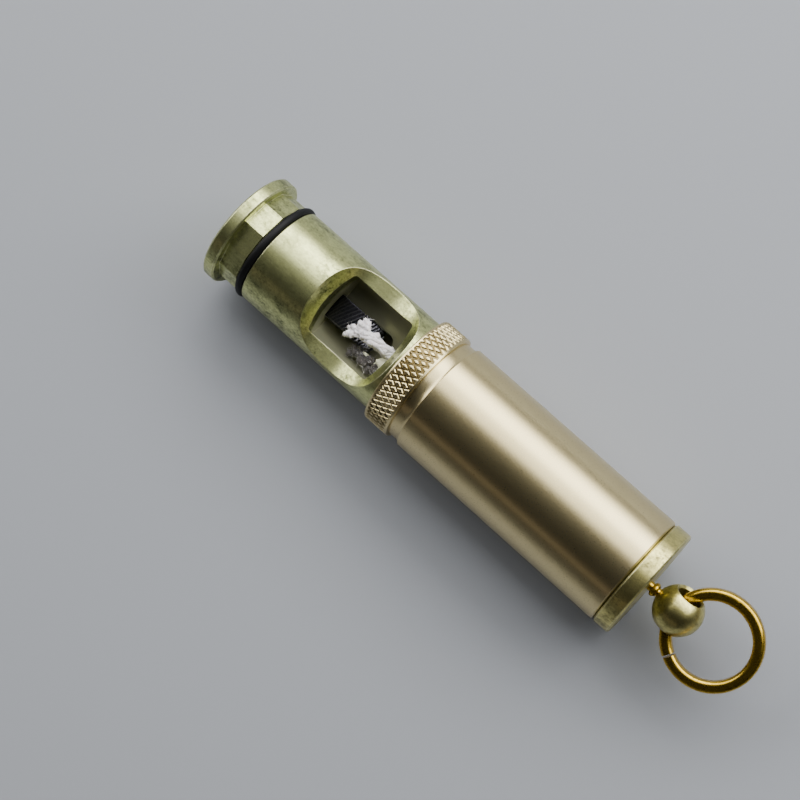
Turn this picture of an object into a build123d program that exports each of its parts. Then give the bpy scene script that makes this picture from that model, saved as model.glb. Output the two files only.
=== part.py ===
"""Pocket capsule lighter: a brass barrel with a flint wheel and wick, shut by a sliding sleeve.

The lighter lies on its side. The axis of the barrel is +X, running from the flange of the top plug
to the key ring. The flame window faces +Z. The origin is the centre of the flange's outer face.
The pieces are drawn with the sleeve open, its end against the end cap.
"""

import os
from math import cos, radians, sin, sqrt

from build123d import *

# ---------------------------------------------------------------------------
# Driving dimensions, in millimetres and degrees
# ---------------------------------------------------------------------------

# Outside shape
flange_overhang = 0.1
flange_thickness = 1.6
grip_sides = 12
grip_turn = 27.0
grip_recess = 0.15
grip_length = 2.6
barrel_dia = 12.5
sleeve_wall = 0.7
sleeve_length = 34.05
sleeve_travel = 21.2
cap_thickness = 2.15
rim_chamfer = 0.2

# Sleeve details
knurl_height = 0.1
knurl_width = 3.45
collar_step = 0.35
collar_width = 0.75
cove_width = 0.8
mouth_depth = 1.35
mouth_step = 0.2

# Rubber seals
seal_section = 1.0
cap_seal_section = 0.75
lower_seal_setback = 1.0

# Flame window: a saddle cut across the barrel, with a square-cornered pocket in its floor
scallop_radius = 6.31
scallop_depth = 4.35
window_margin = 0.4
pocket_width = 8.2
pocket_corner_length = 8.6
pocket_middle_length = 9.9
pocket_corner_radius = 0.45
pocket_floor_cover = 0.25

# Striker
wheel_dia = 7.0
wheel_width = 3.1
wheel_teeth = 42
tooth_depth = 0.22
wheel_from_window_centre = 2.2
wheel_inset = 0.15
axle_dia = 1.2
slot_lead = 0.65
slot_tail = 1.7
slot_corner_radius = 1.0
slot_ledge = 1.2
back_slot_setback = 0.3
thumb_relief_depth = 0.9
thumb_relief_radius = 8.0

# Flint and its spring
flint_dia = 2.4
flint_length = 4.0
flint_standout = 0.9
flint_tube_wall = 0.25
flint_tube_standout = 0.3
bulkhead_length = 3.6
pusher_head = 0.8
pusher_pin_dia = 1.1
pusher_pin_length = 2.2
spring_wire = 0.3
spring_dia = 2.2
spring_turns = 9

# Screwed ends
thread_pitch = 0.75
thread_depth = 0.3
plug_spigot_gap = 0.45
plug_spigot_wall = 0.65
plug_floor = 0.6
cap_spigot_dia = 9.3
cap_spigot_length = 4.75
cap_cavity_dia = 7.0
seal_disc_thickness = 0.8

# Fuel side
plate_thickness = 1.0
wick_dia = 1.7
wick_tail = 18.0
wick_tip_rise = 0.35
wick_head_dia = 2.6
wick_head_length = 2.2
wick_head_setback = 0.4
wick_climb_length = 2.6
wick_climb_slope = 0.2
wick_lead_out = 1.2
wick_bend_radius = 2.5
wick_hole_clearance = 0.55
felt_thickness = 3.0
fuel_gap = 0.3

# Swivel and key ring
ball_dia = 5.8
ball_hole_dia = 3.0
ball_hole_flare = 0.45
ball_tilt = 25.0
stem_dia = 1.1
stem_gap = 1.25
stem_hole_floor = 0.2
bead_dia = 1.7
bead_width = 1.0
rivet_head_dia = 3.2
rivet_head_thickness = 0.6
washer_dia = 4.2
washer_thickness = 0.35
ring_outer_dia = 11.6
ring_wire_radial = 1.4
ring_wire_axial = 1.55
ring_wire_round = 0.5
ring_joint_angle = -119.0
ring_joint_gap = 0.25
ring_hang = 0.13
ring_tilt = 14.0

# Named clearances
slide_clearance = 0.05
seal_clearance = 0.02
seal_mouth_clearance = 0.03
seal_side_clearance = 0.05
face_clearance = 0.05
press_clearance = 0.01
spin_clearance = 0.05
flint_clearance = 0.05
wheel_side_clearance = 0.1
flint_tip_clearance = 0.08
pocket_clearance = 0.25
end_clearance = 0.1

# ---------------------------------------------------------------------------
# Places worked out from the driving dimensions
# ---------------------------------------------------------------------------

barrel_r = barrel_dia / 2
sleeve_bore_r = barrel_r + slide_clearance
sleeve_dia = 2 * (sleeve_bore_r + sleeve_wall)
knurl_dia = sleeve_dia + 2 * knurl_height
collar_dia = sleeve_dia - 2 * collar_step
flange_dia = sleeve_dia + 2 * flange_overhang
grip_across_corners = barrel_dia - 2 * grip_recess
cap_dia = sleeve_dia
lower_seal_floor_r = sleeve_bore_r - seal_clearance - seal_section - seal_clearance
lower_seal_r = lower_seal_floor_r + seal_clearance + seal_section / 2

# Upper seal: it stands proud of the barrel, inside the sleeve's counterbored mouth
mouth_r = sleeve_bore_r + mouth_step
upper_seal_r = mouth_r - seal_mouth_clearance - seal_section / 2
upper_seat_r = upper_seal_r - seal_section / 2 - seal_clearance

# Along the axis, from the flange
grip_end_x = flange_thickness + grip_length
shoulder_x = grip_end_x + face_clearance + seal_section + 2 * seal_side_clearance
upper_seal_x = shoulder_x - seal_side_clearance - seal_section / 2
sleeve_closed_x = shoulder_x + seal_side_clearance - mouth_depth
sleeve_open_x = sleeve_closed_x + sleeve_travel
sleeve_end_x = sleeve_open_x + sleeve_length
cap_x = sleeve_end_x + end_clearance
barrel_end_x = cap_x - face_clearance
cap_face_x = cap_x + cap_thickness

# Window
scallop_axis_z = barrel_r - scallop_depth + scallop_radius
scallop_half_length = sqrt(scallop_radius**2 - (scallop_axis_z - barrel_r) ** 2)
window_x = sleeve_open_x - window_margin - scallop_half_length

# Striker
wheel_r = wheel_dia / 2
wheel_x = window_x - wheel_from_window_centre
wheel_z = wheel_inset + wheel_r - barrel_r
axle_half_length = sqrt(barrel_r**2 - (abs(wheel_z) + axle_dia / 2) ** 2) - end_clearance
slot_width = wheel_width + 2 * wheel_side_clearance
pocket_r = pocket_width / 2
pocket_floor_edge_z = wheel_z + axle_dia / 2 + pocket_floor_cover
pocket_axis_z = pocket_floor_edge_z + sqrt(pocket_r**2 - (slot_width / 2) ** 2)
bulkhead_end_x = wheel_x - wheel_r - flint_standout
bulkhead_x = bulkhead_end_x - bulkhead_length
flint_tip_x = wheel_x - wheel_r - flint_tip_clearance
flint_back_x = flint_tip_x - flint_length
tube_bore_r = flint_dia / 2 + flint_clearance
tube_r = tube_bore_r + flint_tube_wall
tube_end_x = bulkhead_end_x + flint_tube_standout

# Top plug
plug_pocket_r = abs(wheel_z) + spring_dia / 2 + pocket_clearance
plug_spigot_r = plug_pocket_r + plug_spigot_wall
plug_bore_r = plug_spigot_r + slide_clearance
plug_spigot_end_x = bulkhead_x - plug_spigot_gap
plug_floor_x = flange_thickness + plug_floor

# Flint spring and pusher
pusher_x = flint_back_x - face_clearance - pusher_head
spring_start_x = plug_floor_x + face_clearance
spring_end_x = pusher_x - face_clearance
spring_coil_r = (spring_dia - spring_wire) / 2

# End cap
cap_spigot_r = cap_spigot_dia / 2
fuel_bore_r = cap_spigot_r + slide_clearance
cap_spigot_x = cap_x - cap_spigot_length
cap_cavity_r = cap_cavity_dia / 2
cap_cavity_floor_x = cap_x - face_clearance
cap_seal_r = cap_spigot_r + seal_clearance + cap_seal_section / 2
cap_seal_mouth_r = cap_seal_r + cap_seal_section / 2 + seal_side_clearance
cap_seal_x = barrel_end_x - seal_side_clearance - cap_seal_section / 2
cap_seal_floor_x = cap_seal_x - cap_seal_section / 2 - seal_side_clearance

# Fuel side
plate_x = sleeve_open_x
wick_r = wick_dia / 2
wick_channel_r = wick_r + slide_clearance
wadding_x = plate_x + plate_thickness + fuel_gap
felt_end_x = cap_spigot_x - fuel_gap
felt_x = felt_end_x - felt_thickness
wadding_end_x = felt_x - fuel_gap
wick_end_x = min(wadding_x + wick_tail, wadding_end_x - fuel_gap)
wick_tip_z = wheel_z + wheel_r + wick_tip_rise + wick_r
lower_seal_x = sleeve_open_x + mouth_depth + lower_seal_setback + seal_section / 2

# Swivel and ring
ball_r = ball_dia / 2
ball_hole_r = ball_hole_dia / 2
ball_x = cap_face_x + stem_gap + ball_r
stem_r = stem_dia / 2
stem_end_x = ball_x - ball_hole_r - stem_hole_floor
washer_x = cap_cavity_floor_x - face_clearance - washer_thickness
rivet_head_x = washer_x - face_clearance - rivet_head_thickness
ring_line_r = (ring_outer_dia - ring_wire_radial) / 2
ring_inner_r = ring_line_r - ring_wire_radial / 2

# The bent wire takes up the middle of its hole, and hangs a little towards the ring
mouth_half_length = sqrt(ball_r**2 - ball_hole_r**2)
wire_bow = ring_inner_r - sqrt(ring_inner_r**2 - mouth_half_length**2)
ring_x = ball_x + ring_line_r - wire_bow / 2 + ring_hang

# A plane across the axis, with its own x along the row's +Y and its own y along +Z
across = Plane(origin=(0, 0, 0), x_dir=(0, 1, 0), z_dir=(1, 0, 0))

# The key ring leans a little less than the cross hole, because its wire lies loose in the hole
ring_normal = (0, -sin(radians(ring_tilt)), cos(radians(ring_tilt)))
ring_wire_way = (0, cos(radians(ring_tilt)), sin(radians(ring_tilt)))
ring_plane = Plane(origin=(ring_x, 0, 0), x_dir=(1, 0, 0), z_dir=ring_normal)
ball_hole_axis = (0, cos(radians(ball_tilt)), sin(radians(ball_tilt)))
ball_hole_across = (0, -sin(radians(ball_tilt)), cos(radians(ball_tilt)))
flare_start = mouth_half_length - ball_hole_flare
flare_end = flare_start + ball_hole_r


def at(x):
    """The plane across the axis at distance x from the flange."""
    return across.offset(x)


def finish(piece, label):
    """Give a finished piece its label and write it out."""
    piece.part.label = label
    export_step(piece.part, f"parts/{label}.step")


os.makedirs("parts", exist_ok=True)

# ---------------------------------------------------------------------------
# Barrel: the inner body
# ---------------------------------------------------------------------------

# The pocket: its ends bow outwards, and its floor is half round and just covers the wheel's axle
with BuildPart() as pocket:
    with BuildSketch(Plane.XY.offset(-barrel_r)):
        with BuildLine():
            corner = pocket_corner_length / 2
            middle = pocket_middle_length / 2
            Line((window_x - corner, pocket_r), (window_x + corner, pocket_r))
            ThreePointArc(
                (window_x + corner, pocket_r),
                (window_x + middle, 0),
                (window_x + corner, -pocket_r),
            )
            Line((window_x + corner, -pocket_r), (window_x - corner, -pocket_r))
            ThreePointArc(
                (window_x - corner, -pocket_r),
                (window_x - middle, 0),
                (window_x - corner, pocket_r),
            )
        make_face()
        fillet(vertices(), pocket_corner_radius)
    extrude(amount=2 * barrel_dia)
    with BuildSketch(at(window_x - pocket_middle_length)):
        with Locations((0, pocket_axis_z)):
            Circle(pocket_r)
        with Locations((0, pocket_axis_z + barrel_dia / 2)):
            Rectangle(pocket_width, barrel_dia)
    extrude(amount=2 * pocket_middle_length, mode=Mode.INTERSECT)

with BuildPart() as barrel:
    # Seat for the upper seal, then the full diameter
    with BuildSketch(Plane.XY):
        with BuildLine():
            Polyline(
                (grip_end_x + face_clearance, 0),
                (grip_end_x + face_clearance, upper_seat_r),
                (shoulder_x, upper_seat_r),
                (shoulder_x, barrel_r - rim_chamfer / 2),
                (shoulder_x + rim_chamfer / 2, barrel_r),
                (barrel_end_x - rim_chamfer, barrel_r),
                (barrel_end_x, barrel_r - rim_chamfer),
                (barrel_end_x, 0),
                close=True,
            )
        make_face()
    revolve(axis=Axis.X)

    # Bore for the top plug, fuel bore and the mouth for the cap's seal
    with BuildSketch(at(grip_end_x)):
        Circle(plug_bore_r)
    extrude(amount=bulkhead_x - grip_end_x, mode=Mode.SUBTRACT)
    with BuildSketch(at(plate_x)):
        Circle(fuel_bore_r)
    extrude(amount=barrel_end_x - plate_x, mode=Mode.SUBTRACT)
    with BuildSketch(at(cap_seal_floor_x)):
        Circle(cap_seal_mouth_r)
    extrude(amount=barrel_end_x - cap_seal_floor_x, mode=Mode.SUBTRACT)

    # Groove for the lower seal
    with BuildSketch(at(lower_seal_x - seal_section / 2 - seal_side_clearance)):
        Circle(barrel_r + 1)
        Circle(lower_seal_floor_r, mode=Mode.SUBTRACT)
    extrude(amount=seal_section + 2 * seal_side_clearance, mode=Mode.SUBTRACT)

    # Saddle-shaped scallop across the top
    with BuildSketch(Plane.XZ):
        with Locations((window_x, scallop_axis_z)):
            Circle(scallop_radius)
    extrude(amount=barrel_dia, both=True, mode=Mode.SUBTRACT)

    # The pocket in the scallop's floor, and the hole where the wick comes through its end wall
    add(pocket.part, mode=Mode.SUBTRACT)
    with BuildSketch(at(window_x)):
        Circle(wick_r + wick_hole_clearance)
    extrude(amount=plate_x - window_x, mode=Mode.SUBTRACT)

    # Slot for the wheel: long inside, with a ledge at its end, and shorter where it comes out at
    # the back. A shallow relief around it makes room for the thumb
    slot_x = wheel_x - wheel_r - slot_lead
    slot_floor_z = slot_ledge - barrel_r
    for slot_end_x, top_z, bottom_z in (
        (wheel_x + wheel_r + slot_tail, 0, slot_floor_z),
        (wheel_x + wheel_r - back_slot_setback, slot_floor_z, -barrel_dia),
    ):
        with BuildSketch(Plane.XY.offset(top_z)):
            with Locations(((slot_x + slot_end_x) / 2, 0)):
                RectangleRounded(slot_end_x - slot_x, slot_width, slot_corner_radius)
        extrude(amount=bottom_z - top_z, mode=Mode.SUBTRACT)
    with BuildSketch(Plane.XZ):
        with Locations((wheel_x, thumb_relief_depth - barrel_r - thumb_relief_radius)):
            Circle(thumb_relief_radius)
    extrude(amount=barrel_dia, both=True, mode=Mode.SUBTRACT)

    # Holes for the wheel's axle and for the flint tube
    with BuildSketch(Plane.XZ):
        with Locations((wheel_x, wheel_z)):
            Circle(axle_dia / 2 + press_clearance)
    extrude(amount=barrel_dia, both=True, mode=Mode.SUBTRACT)
    with BuildSketch(at(bulkhead_x)):
        with Locations((0, wheel_z)):
            Circle(tube_r + press_clearance)
    extrude(amount=wheel_x - wheel_r - bulkhead_x, mode=Mode.SUBTRACT)
finish(barrel, "barrel")

# ---------------------------------------------------------------------------
# Top plug: flange, twelve-sided finger grip and screwed spigot
# ---------------------------------------------------------------------------


def thread_outline(start_x, end_x, radius):
    """Points of a row of V grooves that stands in for a screw thread on a spigot."""
    points = []
    grooves = int((end_x - start_x) / thread_pitch)
    for turn in range(grooves):
        x = start_x + (end_x - start_x - grooves * thread_pitch) / 2 + turn * thread_pitch
        points += [
            (x + 0.1 * thread_pitch, radius),
            (x + 0.5 * thread_pitch, radius - thread_depth),
            (x + 0.9 * thread_pitch, radius),
        ]
    return points


with BuildPart() as top_plug:
    with BuildSketch(Plane.XY):
        with BuildLine():
            Polyline(
                (0, 0),
                (0, flange_dia / 2 - rim_chamfer),
                (rim_chamfer, flange_dia / 2),
                (flange_thickness - rim_chamfer, flange_dia / 2),
                (flange_thickness, flange_dia / 2 - rim_chamfer),
                (flange_thickness, 0),
                close=True,
            )
        make_face()
    revolve(axis=Axis.X)
    with BuildSketch(at(flange_thickness)):
        RegularPolygon(grip_across_corners / 2, grip_sides, rotation=grip_turn)
    extrude(amount=grip_length)
    with BuildSketch(Plane.XY):
        with BuildLine():
            Polyline(
                (grip_end_x, 0),
                (grip_end_x, plug_spigot_r),
                *thread_outline(grip_end_x + thread_pitch / 2, plug_spigot_end_x, plug_spigot_r),
                (plug_spigot_end_x, plug_spigot_r),
                (plug_spigot_end_x, 0),
                close=True,
            )
        make_face()
    revolve(axis=Axis.X)
    with BuildSketch(at(plug_floor_x)):
        Circle(plug_pocket_r)
    extrude(amount=plug_spigot_end_x - plug_floor_x, mode=Mode.SUBTRACT)
finish(top_plug, "top_plug")

# ---------------------------------------------------------------------------
# Rubber seals
# ---------------------------------------------------------------------------


def seal_ring(x, ring_r, section):
    """A round rubber seal about the axis."""
    with BuildPart() as seal:
        with BuildSketch(Plane.XY):
            with Locations((x, ring_r)):
                Circle(section / 2)
        revolve(axis=Axis.X)
    return seal


finish(seal_ring(upper_seal_x, upper_seal_r, seal_section), "upper_o_ring")
finish(seal_ring(lower_seal_x, lower_seal_r, seal_section), "lower_o_ring")
finish(seal_ring(cap_seal_x, cap_seal_r, cap_seal_section), "end_cap_o_ring")

# ---------------------------------------------------------------------------
# Striker: wheel, axle, flint, its tube, pusher and spring
# ---------------------------------------------------------------------------

with BuildPart() as flint_wheel:
    with BuildSketch(Plane.XZ):
        with Locations((wheel_x, wheel_z)):
            Circle(wheel_r)
            Circle(axle_dia / 2 + spin_clearance, mode=Mode.SUBTRACT)
            with PolarLocations(wheel_r, wheel_teeth):
                Rectangle(
                    tooth_depth * sqrt(2),
                    tooth_depth * sqrt(2),
                    rotation=45,
                    mode=Mode.SUBTRACT,
                )
    extrude(amount=wheel_width / 2, both=True)
finish(flint_wheel, "flint_wheel")

with BuildPart() as wheel_axle:
    with BuildSketch(Plane.XZ):
        with Locations((wheel_x, wheel_z)):
            Circle(axle_dia / 2)
    extrude(amount=axle_half_length, both=True)
finish(wheel_axle, "wheel_axle")

with BuildPart() as flint_tube:
    with BuildSketch(at(bulkhead_x)):
        with Locations((0, wheel_z)):
            Circle(tube_r)
            Circle(tube_bore_r, mode=Mode.SUBTRACT)
    extrude(amount=tube_end_x - bulkhead_x)
finish(flint_tube, "flint_tube")

with BuildPart() as flint:
    with BuildSketch(at(flint_back_x)):
        with Locations((0, wheel_z)):
            Circle(flint_dia / 2)
    extrude(amount=flint_length)
finish(flint, "flint")

with BuildPart() as flint_pusher:
    with BuildSketch(at(pusher_x)):
        with Locations((0, wheel_z)):
            Circle(flint_dia / 2 - flint_clearance)
    extrude(amount=pusher_head)
    with BuildSketch(at(pusher_x)):
        with Locations((0, wheel_z)):
            Circle(pusher_pin_dia / 2)
    extrude(amount=-pusher_pin_length)
finish(flint_pusher, "flint_pusher")

with BuildPart() as flint_spring:
    coil_length = spring_end_x - spring_start_x - spring_wire
    with BuildLine():
        coil = Helix(
            coil_length / spring_turns,
            coil_length,
            spring_coil_r,
            center=(spring_start_x + spring_wire / 2, 0, wheel_z),
            direction=(1, 0, 0),
        )
    with BuildSketch(Plane(origin=coil @ 0, z_dir=coil % 0)):
        Circle(spring_wire / 2)
    sweep(path=coil, is_frenet=True)
finish(flint_spring, "flint_spring")

# ---------------------------------------------------------------------------
# Fuel side: plate, wick, wadding and felt
# ---------------------------------------------------------------------------

with BuildPart() as wick_plate:
    with BuildSketch(at(plate_x + face_clearance)):
        Circle(fuel_bore_r - press_clearance)
        Circle(wick_channel_r, mode=Mode.SUBTRACT)
    extrude(amount=plate_thickness)
finish(wick_plate, "wick_plate")

# The wick runs out along the axis, then climbs over the wheel to a flared head
wick_head_x = wheel_x + wick_head_length / 2 + wick_head_setback
with BuildPart() as wick:
    with BuildLine():
        wick_path = FilletPolyline(
            (wick_end_x, 0, 0),
            (plate_x - wick_lead_out, 0, 0),
            (wick_head_x + wick_climb_length, 0, wick_tip_z - wick_climb_slope),
            (wick_head_x, 0, wick_tip_z),
            radius=wick_bend_radius,
        )
    with BuildSketch(Plane(origin=wick_path @ 0, z_dir=wick_path % 0)):
        Circle(wick_r)
    sweep(path=wick_path)
    head_plane = Plane(origin=wick_path @ 1, z_dir=wick_path % 1)
    with BuildSketch(head_plane.offset(-wick_head_length / 2)):
        Circle(wick_r)
    with BuildSketch(head_plane.offset(wick_head_length / 2)):
        Ellipse(wick_head_dia / 2, wick_r, rotation=90)
    loft()
finish(wick, "wick")

with BuildPart() as cotton_wadding:
    with BuildSketch(at(wadding_x)):
        Circle(fuel_bore_r - fuel_gap / 3)
    extrude(amount=wadding_end_x - wadding_x)
    with BuildSketch(at(wadding_x)):
        Circle(wick_channel_r)
    extrude(amount=wick_end_x + fuel_gap - wadding_x, mode=Mode.SUBTRACT)
finish(cotton_wadding, "cotton_wadding")

with BuildPart() as felt_plug:
    with BuildSketch(at(felt_x)):
        Circle(fuel_bore_r - fuel_gap / 3)
    extrude(amount=felt_thickness)
finish(felt_plug, "felt_plug")

# ---------------------------------------------------------------------------
# Sliding sleeve: knurled band, collar, cove and plain body
# ---------------------------------------------------------------------------

collar_x = sleeve_open_x + knurl_width
cove_x = collar_x + collar_width
body_x = cove_x + cove_width
collar_r = collar_dia / 2
body_r = sleeve_dia / 2

with BuildPart() as slide_sleeve:
    with BuildSketch(Plane.XY):
        with BuildLine():
            Polyline(
                (cove_x, collar_r),
                (collar_x, collar_r),
                (collar_x, knurl_dia / 2 - rim_chamfer),
                (collar_x - rim_chamfer, knurl_dia / 2),
                (sleeve_open_x + rim_chamfer, knurl_dia / 2),
                (sleeve_open_x, knurl_dia / 2 - rim_chamfer),
                (sleeve_open_x, mouth_r),
                (sleeve_open_x + mouth_depth, mouth_r),
                (sleeve_open_x + mouth_depth, sleeve_bore_r),
                (sleeve_end_x, sleeve_bore_r),
                (sleeve_end_x, body_r - rim_chamfer),
                (sleeve_end_x - rim_chamfer, body_r),
                (body_x, body_r),
                (body_x, body_r - rim_chamfer / 2),
            )
            TangentArc((cove_x, collar_r), (body_x, body_r - rim_chamfer / 2), tangent=(1, 0))
        make_face()
    revolve(axis=Axis.X)
finish(slide_sleeve, "slide_sleeve")

# ---------------------------------------------------------------------------
# End cap: disc, screwed spigot and the sealed cavity for the swivel's rivet head
# ---------------------------------------------------------------------------

cap_r = cap_dia / 2
with BuildPart() as end_cap:
    with BuildSketch(Plane.XY):
        with BuildLine():
            Polyline(
                (cap_spigot_x, 0),
                (cap_spigot_x, cap_spigot_r),
                *thread_outline(cap_spigot_x, cap_seal_floor_x, cap_spigot_r),
                (cap_x, cap_spigot_r),
                (cap_x, cap_r - rim_chamfer),
                (cap_x + rim_chamfer, cap_r),
                (cap_face_x - rim_chamfer, cap_r),
                (cap_face_x, cap_r - rim_chamfer),
                (cap_face_x, 0),
                close=True,
            )
        make_face()
    revolve(axis=Axis.X)
    with BuildSketch(at(cap_spigot_x)):
        Circle(cap_cavity_r)
    extrude(amount=cap_cavity_floor_x - cap_spigot_x, mode=Mode.SUBTRACT)
    with BuildSketch(at(cap_cavity_floor_x)):
        Circle(stem_r + spin_clearance)
    extrude(amount=cap_face_x - cap_cavity_floor_x, mode=Mode.SUBTRACT)
finish(end_cap, "end_cap")

with BuildPart() as seal_disc:
    with BuildSketch(at(cap_spigot_x + face_clearance)):
        Circle(cap_cavity_r - press_clearance)
    extrude(amount=seal_disc_thickness)
finish(seal_disc, "seal_disc")

# ---------------------------------------------------------------------------
# Swivel: washer, rivet stem and cross-drilled ball
# ---------------------------------------------------------------------------

with BuildPart() as swivel_washer:
    with BuildSketch(at(washer_x)):
        Circle(washer_dia / 2)
        Circle(stem_r + spin_clearance, mode=Mode.SUBTRACT)
    extrude(amount=washer_thickness)
finish(swivel_washer, "swivel_washer")

bead_r = bead_dia / 2
bead_x = cap_face_x + stem_gap - bead_width / 2
with BuildPart() as swivel_stem:
    with BuildSketch(Plane.XY):
        with BuildLine():
            Polyline(
                (rivet_head_x, 0),
                (rivet_head_x, rivet_head_dia / 2 - rim_chamfer),
                (rivet_head_x + rim_chamfer, rivet_head_dia / 2),
                (rivet_head_x + rivet_head_thickness, rivet_head_dia / 2),
                (rivet_head_x + rivet_head_thickness, stem_r),
                (stem_end_x, stem_r),
                (stem_end_x, 0),
                close=True,
            )
        make_face()
        with Locations((bead_x, 0)):
            Ellipse(bead_width / 2, bead_r)
        with Locations((bead_x, -bead_dia)):
            Rectangle(4 * bead_dia, 2 * bead_dia, mode=Mode.SUBTRACT)
    revolve(axis=Axis.X)
finish(swivel_stem, "swivel_stem")

with BuildPart() as swivel_ball:
    with BuildSketch(Plane.XY):
        with Locations((ball_x, 0)):
            Circle(ball_r)
            with Locations((0, -ball_r)):
                Rectangle(2 * ball_dia, ball_dia, mode=Mode.SUBTRACT)
    revolve(axis=Axis.X)
    # The cross hole, with both of its mouths countersunk
    with BuildSketch(Plane(origin=(ball_x, 0, 0), x_dir=(1, 0, 0), z_dir=ball_hole_across)):
        with BuildLine():
            Polyline(
                (0, -flare_end),
                (2 * ball_hole_r, -flare_end),
                (ball_hole_r, -flare_start),
                (ball_hole_r, flare_start),
                (2 * ball_hole_r, flare_end),
                (0, flare_end),
                close=True,
            )
        make_face()
    revolve(axis=Axis((ball_x, 0, 0), ball_hole_axis), mode=Mode.SUBTRACT)
    with BuildSketch(at(ball_x - ball_dia)):
        Circle(stem_r + press_clearance)
    extrude(amount=stem_end_x + face_clearance - ball_x + ball_dia, mode=Mode.SUBTRACT)
finish(swivel_ball, "swivel_ball")

# ---------------------------------------------------------------------------
# Key ring: flattened wire bent round and butted, with a narrow joint
# ---------------------------------------------------------------------------

with BuildPart() as key_ring:
    wire_plane = Plane(origin=(ring_x, 0, 0), x_dir=(1, 0, 0), z_dir=ring_wire_way)
    ring_axis = Axis((ring_x, 0, 0), ring_normal)
    with BuildSketch(wire_plane):
        with Locations((ring_line_r, 0)):
            RectangleRounded(ring_wire_radial, ring_wire_axial, ring_wire_round)
    revolve(axis=ring_axis, revolution_arc=360)
    with BuildSketch(ring_plane):
        with Locations(Location((0, 0), ring_joint_angle)):
            with Locations((ring_line_r, 0)):
                Rectangle(2 * ring_wire_radial, ring_joint_gap)
    extrude(amount=ring_wire_axial, both=True, mode=Mode.SUBTRACT)
finish(key_ring, "key_ring")
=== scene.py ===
# %% [markdown]
# # A pocket lighter with a sliding sleeve
#
# The real thing is a brass capsule as long as a finger. A bronze sleeve slides over a brass barrel,
# and when it is open it bares a window with a flint wheel and a cotton wick. A ball swivel and a
# key ring hang on its end. This script dresses the finished CAD frame: it keeps the turned brass
# pieces, gives them their finishes, and rebuilds the pieces whose beauty is in fine relief.
#
# Everything is in metres and in the frame's own axes. +X runs from the flange to the ring, and the
# window looks along +Z.

import math

import bmesh
import bpy
import numpy as np
from mathutils import Matrix, Vector, noise


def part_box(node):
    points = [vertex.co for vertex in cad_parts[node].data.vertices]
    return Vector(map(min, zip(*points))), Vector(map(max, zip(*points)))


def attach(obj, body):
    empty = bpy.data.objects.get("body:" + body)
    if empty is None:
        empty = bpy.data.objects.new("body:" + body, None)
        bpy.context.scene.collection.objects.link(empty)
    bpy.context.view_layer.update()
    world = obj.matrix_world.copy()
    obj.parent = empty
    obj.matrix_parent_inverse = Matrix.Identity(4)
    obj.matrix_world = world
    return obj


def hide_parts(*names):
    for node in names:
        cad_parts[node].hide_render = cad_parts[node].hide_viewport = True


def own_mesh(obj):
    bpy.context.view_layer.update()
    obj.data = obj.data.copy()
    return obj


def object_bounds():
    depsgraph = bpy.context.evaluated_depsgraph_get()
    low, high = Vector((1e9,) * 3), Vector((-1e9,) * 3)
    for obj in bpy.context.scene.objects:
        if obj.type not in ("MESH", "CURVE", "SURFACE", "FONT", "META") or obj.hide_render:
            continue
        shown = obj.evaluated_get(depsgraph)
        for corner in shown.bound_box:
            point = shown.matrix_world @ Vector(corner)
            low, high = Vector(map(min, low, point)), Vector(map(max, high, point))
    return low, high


MM = 0.001
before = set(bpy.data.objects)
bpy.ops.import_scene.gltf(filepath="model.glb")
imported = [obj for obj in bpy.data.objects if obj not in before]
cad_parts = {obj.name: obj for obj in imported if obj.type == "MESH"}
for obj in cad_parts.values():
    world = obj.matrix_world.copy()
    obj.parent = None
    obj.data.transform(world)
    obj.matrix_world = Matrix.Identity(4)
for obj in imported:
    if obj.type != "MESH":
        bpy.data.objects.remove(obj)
cad_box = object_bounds()
print("box in mm:", [[round(value / MM, 2) for value in corner] for corner in cad_box])

# %% [markdown]
# ## Camera
#
# The camera stands 22 cm up, above the ring end, and leans back about ten degrees to look at the
# open end of the sleeve. It is rolled, so that the lighter lies diagonally across the view, and its
# long lens keeps the perspective gentle. The directions below are the camera's backwards and right
# axes, and the third axis follows from them. They could be typed in as angles, but a direction is
# easier to check against the lighter's own axes.

# %% Camera
camera_place = Vector((0.0681, -0.0031, 0.2217))
camera_back = Vector((0.182, 0.0, 0.983)).normalized()
camera_right = Vector((0.733, 0.666, -0.136))
camera_right = (camera_right - camera_right.dot(camera_back) * camera_back).normalized()
camera_up = camera_back.cross(camera_right)

camera_data = bpy.data.cameras.new("camera")
camera_data.lens = 90
camera_data.sensor_width = 36
camera_data.clip_start = 0.01
camera = bpy.data.objects.new("camera", camera_data)
turn = Matrix((camera_right, camera_up, camera_back)).transposed()
camera.matrix_world = Matrix.Translation(camera_place) @ turn.to_4x4()
bpy.context.scene.collection.objects.link(camera)
bpy.context.scene.camera = camera
print("camera at", [round(value, 4) for value in camera_place])

# %% [markdown]
# ## Helpers for colour, scale and nodes
#
# Colours are written as sRGB hex, as on a paint chart, and one function turns them into the linear
# values that shaders work in. Pattern sizes are real millimetres. A noise texture of scale 1 has
# features about one unit wide, so features of m millimetres need a scale of 1000 / m here. A Mix
# node has sockets of the same name for numbers and for colours, so its colour sockets are reached
# by number.


# %% Helpers
def linear(hex_colour):
    """An sRGB hex colour as linear RGBA."""
    channels = [int(hex_colour[i : i + 2], 16) / 255 for i in (0, 2, 4)]
    return [c / 12.92 if c <= 0.04045 else ((c + 0.055) / 1.055) ** 2.4 for c in channels] + [1]


def scale_for(millimetres):
    """The texture scale whose features are this many millimetres wide."""
    return 1000 / millimetres


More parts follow.
